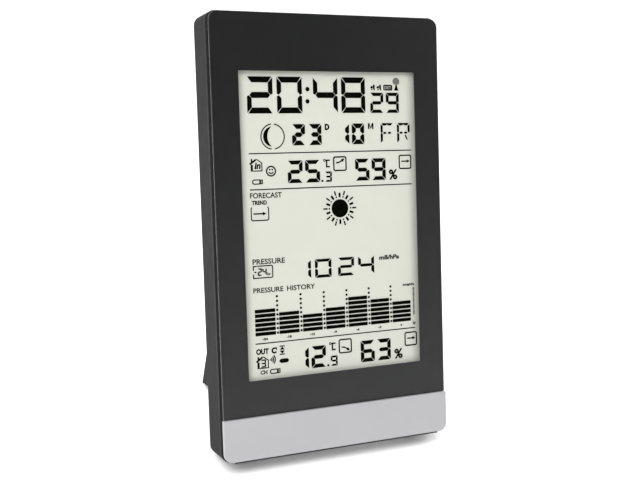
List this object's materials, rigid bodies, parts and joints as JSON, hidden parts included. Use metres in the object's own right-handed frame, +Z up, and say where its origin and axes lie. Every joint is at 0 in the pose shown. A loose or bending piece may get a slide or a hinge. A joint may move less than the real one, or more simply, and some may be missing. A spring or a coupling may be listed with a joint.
{
  "type": "home weather station",
  "caption": "Upright desk weather station: glossy black face with a tall display window, silver foot band, back keys, battery bay and a fold-out stand.",
  "frame": {"origin": "centre of the footprint, on the surface it stands on", "axes": "+Z up, -Y the way the face looks, +X to the right when seen from the front"},
  "size_m": [0.1108, 0.0836, 0.1914],
  "materials": {
    "shell_plastic": "fine satin texture, dark grey",
    "frame_plastic": "satin black",
    "lens_clear": "clear glossy acrylic",
    "mask_black": "glossy black print",
    "tape_black": "matt black foam tape",
    "trim_silver": "satin silver paint",
    "display_glass": "thin clear glass",
    "display_film": "pale grey-green anti-glare film",
    "display_reflector": "pale green-white diffuse film",
    "holder_white": "matt white plastic",
    "zebra_rubber": "silicone with conductive layers",
    "circuit_green": "green solder mask",
    "epoxy_black": "glossy black epoxy",
    "part_metal": "plain metal can",
    "chip_ceramic": "small ceramic chips",
    "ferrite_grey": "dark grey ferrite",
    "copper_wire": "enamelled copper winding",
    "steel_screw": "blackened steel",
    "steel_spring": "nickel-plated spring steel",
    "cell_jacket": "printed cell jacket",
    "key_plastic": "satin grey keys",
    "switch_black": "black switch bodies",
    "ribbon_grey": "flat grey cable",
    "wire_red": "insulated wire",
    "foot_rubber": "matt black rubber",
    "segment_black": "black display segments",
    "print_pale": "pale grey print"
  },
  "bodies": {
    "case": {"cover_lens": "lens_clear", "lens_mask": "mask_black", "lens_tape": "tape_black", "silver_trim": "trim_silver", "front_frame": "frame_plastic", "rear_shell": "shell_plastic", "lcd_polarizer": "display_film", "lcd_front_glass": "display_glass", "lcd_rear_glass": "display_glass", "lcd_reflector": "display_reflector", "lcd_holder": "holder_white", "zebra_strip": "zebra_rubber", "main_board": "circuit_green", "controller_blob": "epoxy_black", "quartz_crystals": "part_metal", "chip_parts": "chip_ceramic", "capacitor": "epoxy_black", "pressure_sensor": "part_metal", "sensor_board": "circuit_green", "humidity_sensor": "part_metal", "ferrite_rod": "ferrite_grey", "antenna_coil": "copper_wire", "ferrite_clips": "holder_white", "receiver_board": "circuit_green", "receiver_parts": "part_metal", "radio_antenna": "copper_wire", "buzzer": "switch_black", "key_board": "circuit_green", "key_switches": "switch_black", "key_board_screws": "steel_screw", "unit_switch_body": "part_metal", "board_screws": "steel_screw", "case_screws": "steel_screw", "key_ribbon": "ribbon_grey", "battery_leads": "wire_red", "battery_springs": "steel_spring", "battery_contacts": "steel_spring", "base_feet": "foot_rubber", "battery_cell_1": "cell_jacket", "battery_cell_2": "cell_jacket", "battery_cell_3": "cell_jacket"},
    "stand": {"stand": "shell_plastic", "stand_pads": "foot_rubber"},
    "battery_door": {"battery_door": "shell_plastic"},
    "snooze_key": {"snooze_key": "key_plastic"},
    "reset_key": {"reset_key": "key_plastic"},
    "unit_switch": {"unit_switch_knob": "key_plastic"},
    "key_set": {"key_set": "key_plastic"},
    "key_plus": {"key_plus": "key_plastic"},
    "key_minus": {"key_minus": "key_plastic"},
    "key_alarm": {"key_alarm": "key_plastic"},
    "key_memory": {"key_memory": "key_plastic"},
    "key_channel": {"key_channel": "key_plastic"}
  },
  "joints": [
    {"name": "stand_fold", "type": "hinge", "parent": "case", "child": "stand", "pos_m": [0, 0.01127, 0.12026], "axis": [-1, 0, 0], "range_deg": [0, 30]},
    {"name": "battery_door_open", "type": "hinge", "parent": "case", "child": "battery_door", "pos_m": [0, 0.01554, 0.12638], "axis": [-1, 0, 0], "range_deg": [0, 85]},
    {"name": "key_set_press", "type": "slide", "parent": "case", "child": "key_set", "axis": [0, -0.9563, 0.2924], "range_m": [0, 0.0006], "stiffness_N_per_m": 300, "springref_m": -0.001},
    {"name": "key_plus_press", "type": "slide", "parent": "case", "child": "key_plus", "axis": [0, -0.9563, 0.2924], "range_m": [0, 0.0006], "stiffness_N_per_m": 300, "springref_m": -0.001},
    {"name": "key_minus_press", "type": "slide", "parent": "case", "child": "key_minus", "axis": [0, -0.9563, 0.2924], "range_m": [0, 0.0006], "stiffness_N_per_m": 300, "springref_m": -0.001},
    {"name": "key_alarm_press", "type": "slide", "parent": "case", "child": "key_alarm", "axis": [0, -0.9563, 0.2924], "range_m": [0, 0.0006], "stiffness_N_per_m": 300, "springref_m": -0.001},
    {"name": "key_memory_press", "type": "slide", "parent": "case", "child": "key_memory", "axis": [0, -0.9563, 0.2924], "range_m": [0, 0.0006], "stiffness_N_per_m": 300, "springref_m": -0.001},
    {"name": "key_channel_press", "type": "slide", "parent": "case", "child": "key_channel", "axis": [0, -0.9563, 0.2924], "range_m": [0, 0.0006], "stiffness_N_per_m": 300, "springref_m": -0.001},
    {"name": "reset_press", "type": "slide", "parent": "case", "child": "reset_key", "axis": [0, -0.9563, 0.2924], "range_m": [0, 0.0005], "stiffness_N_per_m": 300, "springref_m": -0.001},
    {"name": "snooze_press", "type": "slide", "parent": "case", "child": "snooze_key", "axis": [0, -0.2924, -0.9563], "range_m": [0, 0.0006], "stiffness_N_per_m": 300, "springref_m": -0.001},
    {"name": "unit_switch_slide", "type": "slide", "parent": "case", "child": "unit_switch", "axis": [1, 0, 0], "range_m": [0, 0.002]}
  ]
}
